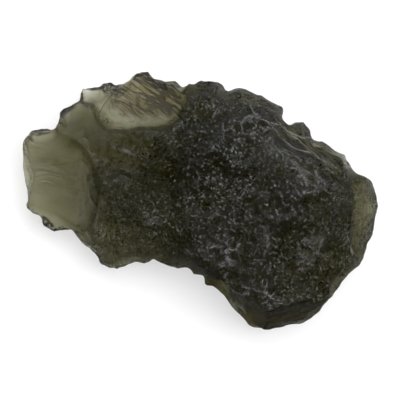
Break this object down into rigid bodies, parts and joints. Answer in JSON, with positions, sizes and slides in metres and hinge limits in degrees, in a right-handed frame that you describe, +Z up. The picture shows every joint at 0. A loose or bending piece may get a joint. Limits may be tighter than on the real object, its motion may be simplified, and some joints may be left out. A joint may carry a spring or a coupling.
{
  "type": "raw moldavite",
  "caption": "Raw moldavite: a lumpy piece of dark green natural glass, lying flat, with an etched and pitted skin, fresh fracture scars and thin see-through lobes at its edge.",
  "frame": {"origin": "on the surface that the stone rests on, under the middle of its box", "axes": "+X along the stone's longest extent, towards its blunt end; +Y across it in the plane of rest; +Z up through its thickness"},
  "size_m": [0.03, 0.0218, 0.0084],
  "materials": {
    "moldavite_glass": "see-through dark olive green, almost black where it is thick, with an etched satin skin and glossy fracture scars"
  },
  "bodies": {
    "root": {"moldavite": "moldavite_glass"}
  },
  "joints": []
}
